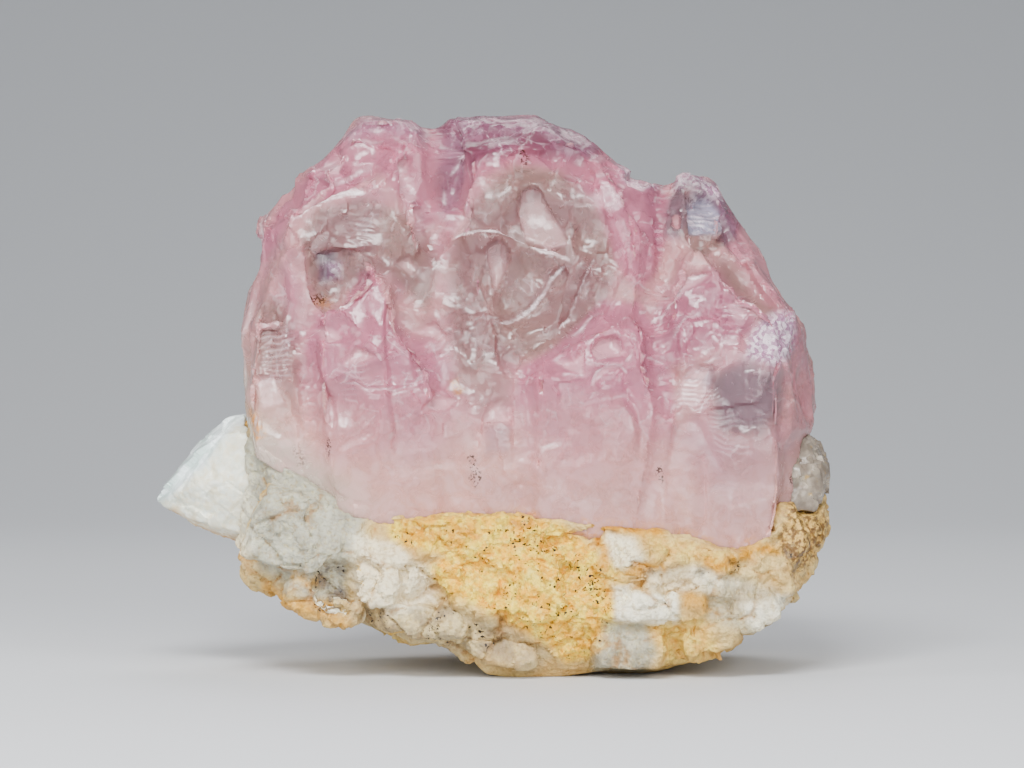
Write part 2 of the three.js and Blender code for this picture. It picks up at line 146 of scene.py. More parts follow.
def add_lights():
    middle = np.array([0, 0, 0.03])  # what they all point at
    for name, (azimuth, elevation, distance, width, height, watts, color) in SOFTBOXES.items():
        light = bpy.data.lights.new(name, "AREA")
        light.shape = "RECTANGLE"
        light.size = width
        light.size_y = height
        light.energy = watts
        light.color = color
        a, e = math.radians(azimuth), math.radians(elevation)
        way = (math.sin(a) * math.cos(e), -math.cos(a) * math.cos(e), math.sin(e))
        softbox = bpy.data.objects.new(name, light)
        softbox.location = middle + distance * np.array(way)
        softbox.rotation_euler = (math.pi / 2 - e, 0, a)
        bpy.context.scene.collection.objects.link(softbox)
    world = bpy.data.worlds.new("studio")
    world.use_nodes = True
    sky = world.node_tree.nodes["Background"]
    sky.inputs["Color"].default_value = (*SKY, 1)
    sky.inputs["Strength"].default_value = SKY_STRENGTH
    bpy.context.scene.world = world


# Patterns, worked out for many points at once, in millimetres
def scatter(cells, seed):
    """Three repeatable numbers from 0 to 1 for each whole-numbered cell."""
    mixing = np.array([[12.9898, 39.3461, 73.1563], [78.233, 11.1353, 52.2351], [37.719, 83.1557, 9.1513]])
    wave = np.sin(cells @ mixing + 1.7 * seed) * 43758.5453
    return wave - np.floor(wave)


def soft_noise(points, size, seed):
    """Smooth noise from -1 to 1, with features of about this size."""
    spots = points / size
    cell = np.floor(spots)
    part = spots - cell
    part = part * part * (3 - 2 * part)
    total = np.zeros(len(points))
    for corner in np.ndindex(2, 2, 2):
        weight = np.prod(np.where(corner, part, 1 - part), axis=1)
        total += weight * scatter(cell + corner, seed)[:, 0]
    return 2 * total - 1


def layered_noise(points, size, seed, layers=3):
    """Soft noise with finer and fainter noise on it."""
    total = sum(soft_noise(points, size / 2**n, seed + n) / 2**n for n in range(layers))
    return total / sum(0.5**n for n in range(layers))


def wandering(points, size, seed):
    """Three layered noises at once, for moving points about."""
    return np.stack([layered_noise(points, size, seed + 3 * n) for n in range(3)], axis=1)


def chips(points, size, seed):
    """For seeds, one to a cell: the distances to the nearest two, the way from the nearest, and its tag."""
    spots = points / size
    cell = np.floor(spots)
    nearest = np.full(len(points), 9.0)
    second = np.full(len(points), 9.0)
    away = np.zeros((len(points), 3))
    owner = np.zeros((len(points), 3))
    for step in np.ndindex(3, 3, 3):
        home = cell + np.array(step) - 1
        apart = spots - home - scatter(home, seed)
        distance = np.linalg.norm(apart, axis=1)
        closer = distance < nearest
        second = np.where(closer, nearest, np.minimum(second, distance))
        nearest = np.where(closer, distance, nearest)
        away[closer] = apart[closer]
        owner[closer] = home[closer]
    return nearest, second, away, scatter(owner, seed + 5)


def facets(points, size, hollow, slope, seed):
    """The depth of faces of about this size that slope at random, and how near each point is to a rim."""
    nearest, second, away, tag = chips(points, size, seed)
    depth = hollow * (0.4 - nearest**2) + slope * size * np.einsum("ij,ij->i", away, 2 * tag - 1)
    return depth, (1 - soft_step(second - nearest, 0.02, 0.1)) * soft_step(tag[:, 0], 0.55, 0.75)


def scarred(points, table):
    """The depth of all of a table's facets, and how near each point is to the rim of one."""
    scars = [facets(points, *scar) for scar in table]
    return sum(depth for depth, _ in scars), np.max([rim for _, rim in scars], axis=0)


def soft_step(value, low, high):
    """0 below low, 1 above high and smooth between them."""
    t = np.clip((value - low) / (high - low), 0, 1)
    return t * t * (3 - 2 * t)


def terraces(value, count):
    """A slope from -1 to 1 as this many shelves, less the slope itself."""
    t = (value + 1) / 2 * count
    shelf = np.floor(t)
    return 2 * (shelf + soft_step(t - shelf, 0.8, 1)) / count - 1 - value


# Features drawn on the photograph: a path or an outline is a text of places, "across,down across,down ..."
def places_in(text):
    return [tuple(map(int, place.split(","))) for place in text.split()]


def drawn(table):
    """A table with the text at the end of each row as places."""
    return {name: (*row[:-1], places_in(row[-1])) for name, row in table.items()}


def close_to(places, path, reach):
    """Which places are within a path's box, made larger by this many pixels on each side."""
    return np.all((places > np.min(path, axis=0) - reach) & (places < np.max(path, axis=0) + reach), axis=1)


def beside(places, path):
    """Each place's distance from a path, above zero on its right-hand side, and how far along it is."""
    best = np.full(len(places), 1e9)
    signed = np.full(len(places), 1e9)
    along = np.zeros(len(places))
    path = np.array(path, float)
    count = len(path) - 1
    for i in range(count):
        run = path[i + 1] - path[i]
        offset = places - path[i]
        held = np.clip(offset @ run / (run @ run), 0, 1)
        distance = np.linalg.norm(offset - held[:, None] * run, axis=1)
        side = run[0] * offset[:, 1] - run[1] * offset[:, 0]
        closer = distance < best
        best = np.where(closer, distance, best)
        signed = np.where(closer, np.where(side < 0, -distance, distance), signed)
        along = np.where(closer, (i + held) / count, along)
    return signed, along


def within(places, outline, edge):
    """1 inside an outline and 0 outside it, soft over this many pixels each way."""
    outline = np.array(outline, float)
    near = close_to(places, outline, edge)
    spots = places[near]
    inside = np.zeros(len(spots), bool)
    distance = np.full(len(spots), 1e9)
    for start, end in zip(outline, np.roll(outline, -1, axis=0)):
        run = end - start
        offset = spots - start
        held = np.clip(offset @ run / (run @ run), 0, 1)
        distance = np.minimum(distance, np.linalg.norm(offset - held[:, None] * run, axis=1))
        straddles = (start[1] > spots[:, 1]) != (end[1] > spots[:, 1])
        crossing = start[0] + offset[:, 1] * run[0] / (run[1] or 1)
        inside ^= straddles & (spots[:, 0] < crossing)
    amount = np.zeros(len(places))
    amount[near] = soft_step(np.where(inside, distance, -distance), -edge, edge)
    return amount


def patches(places, table):
    """The strongest at each place of a table's patches: (strength, soft edge in pixels, outline)."""
    found = [strength * within(places, outline, edge) for strength, edge, outline in table.values()]
    return np.max(found, axis=0)


def traces(places, table):
    """The strongest at each place of a table's lines: (strength, half width in pixels, path)."""
    total = np.zeros(len(places))
    for strength, width, path in table.values():
        near = close_to(places, path, 3 * width)
        signed, along = beside(places[near], path)
        ends = soft_step(along, 0, 0.1) * soft_step(1 - along, 0, 0.1)
        total[near] = np.maximum(total[near], strength * ends * np.exp(-((signed / width) ** 2)))
    return total


# Where crystals and rock meet, seen from the front, and how it climbs towards the back
SEAM = places_in(
    "240,400 250,424 262,446 292,464 322,482 352,498 386,506 430,509 470,506 512,504 546,509 592,516 "
    "640,519 686,528 722,540 746,541 764,531 784,517"
)
SEAM_FRONT = -16.6  # y in millimetres where the seam is seen
SEAM_RISE = 0.22  # millimetres for each millimetre towards the back


def above_seam(points):
    line = np.array([placed(*spot) for spot in SEAM])
    front = np.interp(points[:, 0], line[:, 0], line[:, 1])
    return points[:, 2] - front - SEAM_RISE * (points[:, 1] - SEAM_FRONT)


# Skins: fine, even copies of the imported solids, worked like clay by moves of their points
def skin(node, name, voxel, rounds, addition=None, closing=0):
    """Smoothed for this many rounds. Grooves narrower than twice the closing, in millimetres, are filled."""
    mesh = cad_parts[node].data.copy()
    mesh.name = name
    bm = bmesh.new()
    bm.from_mesh(mesh)
    bmesh.ops.remove_doubles(bm, verts=bm.verts, dist=0.001 * MM)
    if addition:
        bm.from_mesh(addition())
    bm.to_mesh(mesh)
    bm.free()
    piece = bpy.data.objects.new(name, mesh)
    piece.data.materials.clear()
    bpy.context.scene.collection.objects.link(piece)
    if closing:
        even_out(piece, CLOSING_VOXEL)
        swell(piece, closing)
    even_out(piece, voxel)
    if closing:
        swell(piece, -closing)
    smooth = piece.modifiers.new("smooth", "SMOOTH")
    smooth.factor = 0.5
    smooth.iterations = rounds
    bake_modifiers(piece)
    return piece


def even_out(piece, voxel):
    remesh = piece.modifiers.new("even", "REMESH")
    remesh.mode = "VOXEL"
    remesh.voxel_size = voxel * MM


def swell(piece, distance):
    displace = piece.modifiers.new("swell", "DISPLACE")
    displace.mid_level = 0
    displace.strength = distance * MM


def bake_modifiers(piece):
    """Makes what the modifiers do part of the mesh."""
    graph = bpy.context.evaluated_depsgraph_get()
    made = bpy.data.meshes.new_from_object(piece.evaluated_get(graph))
    old = piece.data
    piece.modifiers.clear()
    piece.data = made
    bpy.data.meshes.remove(old)


def read_skin(piece):
    """Points in millimetres, and the directions that they face."""
    count = len(piece.data.vertices)
    points = np.empty(count * 3, np.float32)
    facing = np.empty(count * 3, np.float32)
    piece.data.vertices.foreach_get("co", points)
    piece.data.vertex_normals.foreach_get("vector", facing)
    return points.reshape(-1, 3).astype(float) / MM, facing.reshape(-1, 3).astype(float)


def write_skin(piece, points):
    """Points in millimetres, kept inside the specimen's box."""
    low, high = cad_box
    points = np.clip(points, np.array(low) / MM, np.array(high) / MM)
    piece.data.vertices.foreach_set("co", (points * MM).astype(np.float32).ravel())
    piece.data.update()


def calm(piece, points):
    """The points, with those that stick out or in at a single point taken back between their neighbours."""
    edges = np.empty(2 * len(piece.data.edges), np.int32)
    piece.data.edges.foreach_get("vertices", edges)
    first, second = edges.reshape(-1, 2).T
    ends = np.concatenate([first, second])
    others = np.concatenate([second, first])
    neighbours = np.bincount(ends, minlength=len(points))
    for _ in range(CALM_ROUNDS):
        total = [np.bincount(ends, weights=points[others, axis], minlength=len(points)) for axis in range(3)]
        away = np.stack(total, axis=1) / neighbours[:, None] - points
        points = points + away * soft_step(np.linalg.norm(away, axis=1), *STRAY)[:, None]
    return points


def thin_out(piece):
    """Drops triangles where the surface is plain, to stay under the limit."""
    triangles = sum(len(face.vertices) - 2 for face in piece.data.polygons)
    if triangles > MOST_TRIANGLES:
        fewer = piece.modifiers.new("fewer", "DECIMATE")
        fewer.ratio = MOST_TRIANGLES / triangles
        bake_modifiers(piece)


def mark(piece, **numbers):
    """Named numbers from 0 to 1 at each point, for the materials to read."""
    for name, values in numbers.items():
        attribute = piece.data.attributes.new(name, "FLOAT", "POINT")
        attribute.data.foreach_set("value", np.clip(values, 0, 1).astype(np.float32))


def finish_piece(piece, node, material):
    thin_out(piece)
    write_skin(piece, read_skin(piece)[0])
    piece.data.materials.append(material)
    piece.data.shade_smooth()
    piece.data.set_sharp_from_angle(angle=CREASE)
    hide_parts(node)
    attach(piece, "root")


# The crystals
CLEFTS_FILLED = 1.6  # half the width in millimetres of the widest cleft between them that is filled
SCARS = ((10, 1.7, 0.05, 11), (5.2, 0.6, 0.06, 12), (2.4, 0.06, 0.04, 13))  # size, hollow, slope and seed
STEPS_HEIGHT, STEPS_SIZE, STEPS_COUNT = 1.8, 15, 5  # broad etched terraces, in millimetres
ETCHED_FROM = (18, 40)  # millimetres above the floor: the relief starts and is full
CREST = (50, 62)  # millimetres above the floor
MILKY_UP_TO = (1, 17)  # millimetres above the seam
GREYED_UP_TO = (0, 6)  # millimetres above the seam
GREYED_SIDE = (-22, -10)  # x in millimetres, where the grey ends
RIPPLE = 0.7  # millimetres from one fine etched ripple to the next
SUNK = 1.6  # millimetres that the crystals' undersides go down into the rock

# The surface drops to the right of the way that a path runs, or to the left where the depth in millimetres is
# below zero, and comes back up over this width in pixels
LEDGES = drawn({
    "lens rim, left crystal": (-1.3, 24, "300,219 310,211 320,203 332,200 346,196 372,194"),
    "left shoulder": (0.9, 18, "302,176 322,180 334,182 348,176 362,168 380,164"),
    "left crest": (0.6, 12, "376,146 392,150 402,158 408,170"),
    "pocket edge": (1.1, 20, "308,240 320,254 344,248 378,246 392,252 404,268"),
    "groove beside the centre crystal": (-1.6, 14, "454,120 448,150 444,180 441,214"),
    "groove's other wall": (1.2, 12, "464,132 460,160 456,186 449,214"),
    "break across the centre crystal": (-1.3, 26,
        "449,236 462,234 480,230 498,231 514,238 532,246 548,252 568,259"),
    "arc low in the centre": (1.0, 20, "494,320 512,312 530,304 542,292 550,276 564,262"),
    "second arc": (0.9, 18, "556,324 570,310 577,294 584,276 594,252"),
    "core edge": (0.9, 16, "486,246 488,270 490,296 492,314"),
    "vault under the crest": (1.0, 20, "500,158 512,153 530,152 548,153 562,158"),
    "right rib of the centre": (0.9, 14, "586,152 594,180 602,206 610,236 616,262"),
    "rib beside it": (0.6, 10, "614,186 624,208 632,234 634,252"),
    "front left point": (-1.1, 20, "308,352 318,322 332,304 348,302 358,286 368,268 378,262"),
    "front left flank": (0.5, 14, "378,262 388,282 396,304 402,326"),
    "front left steps": (0.5, 12, "352,374 372,381 394,384 412,380 428,370"),
    "front left lower steps": (0.4, 10, "310,372 320,384 334,390 344,396"),
    "brow of the front centre": (-1.0, 18, "514,372 522,354 538,344 560,334 576,320 590,304"),
    "side of the front centre": (-0.35, 14, "512,440 511,410 514,372"),
    "arch in the front centre": (0.7, 14, "588,380 594,368 604,361 618,360 627,372 637,394"),
    "flank of the front centre": (-0.25, 14, "640,304 656,330 668,366 672,400 666,434 658,456"),
    "band on the right crystal": (-1.1, 18, "652,336 660,306 674,288 690,276 706,270"),
    "second band": (0.7, 12, "656,352 668,330 682,312 700,306 722,316 736,328"),
    "under the window": (0.9, 12, "680,240 694,238 706,236 716,230 726,238"),
    "right flank": (0.8, 16, "716,200 728,228 742,262 758,292 772,312"),
    "small point": (-0.6, 10, "477,450 483,420 491,396 502,394 511,420 514,446"),
    "lower right edge": (0.3, 12, "698,446 702,470 700,500 702,530"),
    "left column": (0.4, 12, "276,290 284,330 296,372 302,420"),
    "left front's edge": (0.25, 12, "300,380 304,410 304,440 310,474"),
    "column low in the middle": (0.15, 12, "458,436 460,456 466,480 468,502"),
    "column right of it": (-0.25, 12, "512,440 514,462 520,484 520,506"),
})

# Flat breaks that catch the light: how far they lean back in degrees, and their outline
# The crystals' material also lightens these breaks with a painted highlight
GLINTS = drawn({
    "strip on the left crystal": (16, "401,164 410,158 414,180 422,198 416,204 404,200"),
    "left shoulder": (20, "322,168 336,152 350,158 344,172 330,176"),
    "flake beside the pocket": (20, "400,262 412,256 420,268 414,276"),
    "lens strip": (12, "414,210 424,206 428,236 422,244 414,230"),
    "pane in the core": (14, "522,194 534,186 546,208 566,244 552,247 526,238 519,212"),
    "pane left of it": (18, "450,228 458,214 474,206 468,224 456,240"),
    "pane below the break": (16, "487,248 500,240 508,250 504,272 494,292"),
    "right shoulder": (24, "622,176 640,168 652,182 640,192 626,188"),
    "window": (14, "681,214 688,202 704,197 716,206 724,226 720,236 702,233 684,238"),
    "below the window": (22, "686,262 691,246 708,264"),
    "brow of the right crystal": (22, "664,296 670,284 690,273 706,272 698,280 680,290"),
    "eye of the right crystal": (14, "722,300 734,296 742,306 738,318 728,314"),
    "front left eye": (22, "318,328 326,321 342,328 346,336 334,340 324,335"),
    "front left pane": (20, "350,360 361,343 380,352 368,358"),
    "flake": (24, "414,331 436,321 450,334 444,338"),
    "low flake": (20, "424,404 440,388 458,396 446,406"),
    "front centre brow": (22, "589,344 598,335 612,334 618,345 626,350 606,352 594,357"),
    "front centre wedge": (18, "553,358 572,354 582,340 581,372 566,366"),
    "arch": (22, "588,382 594,368 606,361 620,362 604,368 596,376"),
    "ripples of the right crystal": (12, "676,376 690,362 710,362 704,388 692,402 674,400"),
    "small point": (18, "483,418 490,398 502,396 509,417"),
    "left column": (12, "258,374 280,370 292,398 270,404"),
})

WINDOW = "682,210 690,199 706,196 718,208 723,232 704,235 684,238"
PINK = drawn({
    "left crest": (0.8, 8,
        "262,262 256,240 300,182 345,138 362,118 424,124 441,150 446,210 425,232 408,200 380,172 345,188 "
        "310,204 288,232"),
    "left streak": (0.45, 8, "284,240 300,250 306,345 288,348"),
    "front left point": (1.0, 6,
        "308,350 318,312 345,300 362,268 378,262 392,296 402,330 380,345 345,350 330,392 306,390"),
    "front left body": (0.7, 16, "304,350 400,325 452,345 455,410 430,450 330,450 304,410"),
    "centre crest": (0.85, 9,
        "436,130 452,114 548,114 600,143 655,178 668,206 660,256 638,292 612,262 594,205 560,168 512,160 "
        "476,180 450,236 442,200"),
    "front centre top": (0.95, 6,
        "513,410 520,362 548,344 578,324 600,296 636,296 656,330 670,372 670,420 650,440 620,396 590,386 "
        "550,400"),
    "front centre body": (0.6, 20, "510,385 600,365 672,390 664,490 590,480 520,490"),
    "right crystal": (0.9, 12, "650,310 676,280 712,266 742,292 752,330 700,348 660,366"),
    "right edge": (0.5, 10,
        "668,190 700,172 722,190 760,255 800,330 812,400 802,440 786,380 762,310 728,250 700,190"),
    "low right": (0.35, 24, "672,440 760,420 792,460 772,520 690,512"),
})
CLEAR = drawn({
    "core": (1.0, 14,
        "452,250 470,205 516,164 566,172 598,215 614,268 600,312 560,340 520,352 470,370 450,330"),
    "left lens": (0.9, 9, "305,240 320,208 370,197 425,214 444,262 430,310 380,262 330,300"),
    "left flank": (0.7, 12, "256,300 292,290 312,380 300,430 262,424 250,380"),
    "window": (1.0, 6, "668,205 690,180 716,190 736,240 704,254 672,238"),
    "right flank": (0.7, 10, "712,250 736,262 764,300 800,372 772,322 736,300"),
    "between the front crystals": (0.5, 14, "455,330 510,350 512,400 480,420 456,390"),
    "haze of the right crystal": (0.7, 12, "700,372 745,352 778,366 780,412 755,440 712,430"),
})
# A dark blue-grey: the bluish haze of the right crystal and of the low crystals, and painted shade in the
# groove, in the pocket and at the window's sides
BLUISH_HAZE_AND_SHADE = drawn({
    "groove": (0.6, 6, "444,140 460,130 462,170 452,212 444,214 440,180"),
    "pocket": (1.0, 4, "322,252 342,250 344,274 330,278"),
    "haze of the right crystal": (0.7, 10, "704,372 745,352 772,366 776,404 752,430 716,424"),
    "window's dark side": (0.7, 5, "668,205 682,190 684,216 680,244 664,240"),
    "window's other side": (0.7, 5, "718,196 736,236 724,246 716,212"),
    "small point": (0.4, 5, "484,424 508,424 506,450 484,452"),
    "window": (1.0, 3, WINDOW),
    "low right": (0.3, 26, "690,430 784,430 788,512 700,524"),
    "low middle": (0.2, 20, "470,470 650,470 660,510 480,500"),
})
DRUSY = drawn({
    "sparkling patch": (1.0, 5, "744,334 758,316 786,314 786,352 766,362 740,352"),
    "pocket": (0.8, 3, "331,262 344,262 344,276 333,276"),
    "centre crest": (0.2, 8, "450,116 545,116 600,143 590,152 540,132 456,134"),
    "left crest": (0.25, 8, "345,136 362,118 424,124 424,146 380,134 352,146"),
    "right crest": (0.8, 6, "670,196 688,178 716,184 722,200 690,198"),
    "right shoulder": (0.7, 6, "618,166 640,172 656,188 640,190 622,184"),
})
DUSKY = drawn({
    "centre crest": (1.0, 8,
        "438,136 452,112 500,112 548,114 576,130 604,150 572,158 520,148 482,158 468,168 458,140"),
    "left crest": (0.5, 8, "345,140 362,116 424,122 440,150 420,150 384,134"),
    "right crest": (0.8, 6, "690,176 718,182 744,226 732,236 710,204"),
    "right shoulder": (0.5, 8, "626,166 656,184 668,214 656,256 642,240 640,196"),
    "right crystal": (0.3, 12, "650,310 676,280 712,266 742,292 746,322 700,344 660,366"),
})
RIPPLED = drawn({
    "window": (1.0, 3, WINDOW),
    "right crystal": (0.8, 6, "676,366 692,350 714,352 712,392 694,410 672,402"),
    "its haze": (0.5, 8, "704,400 752,384 770,420 744,452 708,446"),
    "left column": (0.9, 6, "262,330 292,326 302,352 296,376 268,378"),
    "front left steps": (0.6, 7, "340,366 412,350 432,372 400,394 350,390"),
    "left lens": (0.7, 5, "348,222 376,214 380,244 352,248"),
    "strip beside it": (0.7, 4, "412,198 426,196 430,240 418,246"),
    "curves of the right crystal": (0.6, 6, "714,300 742,296 748,326 722,336"),
})
# Thin white lines along the lips of breaks and ledges: painted highlights on the edges
PAINTED_RIM_HIGHLIGHTS = drawn({
    "lens": (0.9, 2.2, "298,222 310,211 320,203 332,200 346,196 376,194"),
    "break": (1.0, 1.9, "452,236 462,234 480,230 498,231 514,238 532,246"),
    "break's bright end": (1.0, 2.4, "528,243 540,250 552,253 572,261"),
    "arc": (0.8, 1.8, "494,322 512,314 530,305 542,292 550,276 566,262"),
    "second arc": (0.7, 1.7, "554,328 572,314 577,296 584,276 596,250"),
    "core edge": (0.5, 1.6, "486,246 488,270 490,298"),
    "shoulder": (0.6, 2.0, "318,178 334,182 348,176 362,168 380,164"),
    "pocket": (0.5, 2.0, "312,246 324,256"),
    "above the front left crystal": (0.7, 2.4, "340,306 350,306 358,298"),
    "beside the front left crystal": (0.5, 2.0, "388,262 402,266 410,280 408,300"),
    "front left steps": (0.5, 2.0, "352,376 372,383 394,386 412,382 430,368"),
    "front centre brow": (0.7, 2.2, "568,332 580,326 592,312"),
    "arch": (0.6, 1.8, "588,382 594,368 604,361 618,360 627,372"),
    "right band": (0.6, 2.4, "654,338 661,308 675,289 691,277 706,271"),
    "second band": (0.5, 1.8, "656,354 668,332 682,313 700,307"),
    "groove": (0.6, 1.8, "458,136 452,160 446,190 442,216"),
    "crest of the centre": (0.3, 2.4, "462,128 482,122 500,120 540,122"),
    "left column": (0.5, 2.6, "258,378 274,384 290,396"),
    "low boundary": (0.35, 1.6, "698,448 702,480 700,510 702,530"),
    "left edge": (0.45, 2.4, "252,290 248,330 247,370 246,392"),
})
SPECKS = drawn({
    "trace": (1.0, 3.0, "470,446 474,458 479,470 474,474"),
    "trace's end": (1.0, 5.0, "470,472 480,474"),
    "second trace": (0.9, 3.0, "656,458 656,468 660,476"),
    "third trace": (0.8, 2.6, "335,430 335,440 333,448"),
    "left dust": (0.35, 8.0, "298,438 306,450 308,464"),
    "edge of the pocket": (0.9, 4.0, "316,296 322,294 332,290"),
    "under the crest": (1.0, 3.6, "520,152 524,158 526,166"),
    "beside the golden patch": (0.7, 3.0, "784,470 786,482"),
})
STAINS = drawn({
    "left seam": (1.0, 7.0, "244,404 254,412 262,424 268,434"),
    "yellow fleck": (0.8, 4.0, "455,374 458,382 462,390"),
    "along the rock": (0.5, 4.0, "500,502 530,506 600,514 660,520 720,536 760,530 784,512"),
    "under the pocket": (0.5, 5.0, "316,298 326,296 336,292"),
})

# A rounded block that the crystals' feet grow into, so that the clefts between them end above the rock
FEET_MIDDLE = Vector((4.0, -0.6, 22.2))
FEET_HALF = Vector((33.0, 15.2, 12.2))
FEET_SQUARENESS = 4
FEET_SOLE = Vector((1.0, -16.6, 17.2))  # a point of its flat underside, inside the rock


def feet():
    bm = bmesh.new()
    bmesh.ops.create_uvsphere(bm, u_segments=96, v_segments=48, radius=1)
    for vert in bm.verts:
        vert.co /= sum(abs(part) ** FEET_SQUARENESS for part in vert.co) ** (1 / FEET_SQUARENESS)
    bmesh.ops.scale(bm, vec=FEET_HALF * MM, verts=bm.verts)
    bmesh.ops.translate(bm, vec=FEET_MIDDLE * MM, verts=bm.verts)
    whole = [*bm.verts, *bm.edges, *bm.faces]
    upwards = Vector((0.1, -SEAM_RISE, 1))
    cut = bmesh.ops.bisect_plane(bm, geom=whole, plane_co=FEET_SOLE * MM, plane_no=upwards, clear_inner=True)
    rim = [part for part in cut["geom_cut"] if isinstance(part, bmesh.types.BMEdge)]
    bmesh.ops.edgeloop_fill(bm, edges=rim)
    bmesh.ops.recalc_face_normals(bm, faces=bm.faces)
    mesh = bpy.data.meshes.new("feet")
    bm.to_mesh(mesh)
    bm.free()
    return mesh


def ledge_depth(places):
    total = np.zeros(len(places))
    for depth, width, path in LEDGES.values():
        near = close_to(places, path, 3 * width)
        signed, along = beside(places[near], path)
        signed *= np.sign(depth)
        ends = soft_step(along, 0, 0.12) * soft_step(1 - along, 0, 0.12)
        total[near] += abs(depth) * ends * np.where(signed > 0, np.exp(-signed / width), 0)
    return total


def cut_glints(places, depth, share):
    """Flattens the flat breaks into a relief, and says where they are."""
    where = np.zeros(len(places))
    for lean, outline in GLINTS.values():
        inside = within(places, outline, 1.5) * share
        lowest = max(down for _, down in outline)
        face = (lowest - places[:, 1]) * PIXEL * math.tan(math.radians(lean))
        depth = depth + inside * (0.2 + face - depth)
        where = np.maximum(where, inside)
    return depth, where


def make_crystals():
    piece = skin("rose_quartz_crystals", "rose_quartz_crystals_skin", VOXEL, 5, feet, CLEFTS_FILLED)
    points, facing = read_skin(piece)
    wander = wandering(points, 9, 1)
    spots = (points + 1.5 * wander) / (1, 1, 1.3)
    height = points[:, 2]
    places = seen(points)
    front = soft_step(0.4 * np.maximum(facing[:, 2], 0) - facing[:, 1], 0, 0.3)
    raised = soft_step(height + 5 * soft_noise(points, 12, 21), *ETCHED_FROM)
    relief = (0.18 + 0.82 * raised) * (0.45 + 0.55 * soft_step(np.abs(facing[:, 1]), 0.1, 0.5))
    scars, rims = scarred(spots, SCARS)
    terraced = STEPS_HEIGHT * terraces(layered_noise(spots, STEPS_SIZE, 17, 2), STEPS_COUNT)
    depth = relief * (scars + terraced)
    wavy = places + 2.0 * wander[:, :2]
    depth += front * ledge_depth(wavy)
    depth, glint = cut_glints(wavy, depth, front)
    crest = soft_step(height + 3 * wander[:, 0], *CREST) * soft_step(facing[:, 2], 0.2, 0.7)
    drusy = np.maximum(front * patches(wavy, DRUSY), 0.25 * (1 - front) * crest)
    crumbs, _ = facets(points, 1.3, 0.1, 0.4, 31)
    depth += drusy * crumbs
    sinks = (facing[:, 2] < -0.4) & (above_seam(points) < 2)
    moved = points - depth[:, None] * facing * np.where(sinks, 0, 1)[:, None]
    moved[sinks, 2] -= SUNK
    write_skin(piece, calm(piece, moved))

    broad = places + 9 * wander[:, :2]
    upper = soft_step(height + 4 * wander[:, 1], 14, 40)
    pink_behind = soft_step(layered_noise(points, 14, 51), -0.2, 0.5) * upper
    clear_behind = soft_step(layered_noise(points, 15, 57), 0.0, 0.5)
    ripples_behind = soft_step(layered_noise(points, 9, 47), 0.2, 0.5)
    rims *= soft_step(layered_noise(points, 7, 44), -0.1, 0.4) * raised

    def marks(table, behind):
        return front * patches(broad, table) + (1 - front) * behind

    seam_height = above_seam(points) + 2 * wander[:, 2]
    greyed = (1 - soft_step(seam_height, *GREYED_UP_TO)) * (1 - soft_step(points[:, 0], *GREYED_SIDE))
    mark(
        piece,
        pink=marks(PINK, pink_behind) + 0.18 * layered_noise(points, 5, 55),
        clear=marks(CLEAR, clear_behind) + 0.12 * layered_noise(points, 6, 61),
        bluish=marks(BLUISH_HAZE_AND_SHADE, 0),
        dusky=marks(DUSKY, 0.6 * crest),
        milky=1 - soft_step(seam_height, *MILKY_UP_TO),
        greyed=greyed,
        drusy=drusy,
        glint=glint,
        # rim: painted highlights along the drawn lips and along the scars' rims
        rim=np.maximum(front * traces(wavy, PAINTED_RIM_HIGHLIGHTS), 0.5 * rims),
        rippled=front * patches(wavy, RIPPLED) + 0.5 * (1 - front) * ripples_behind,
        specks=front * traces(wavy, SPECKS),
        stain=front * traces(wavy, STAINS),
    )
    finish_piece(piece, "rose_quartz_crystals", rose_quartz_material())


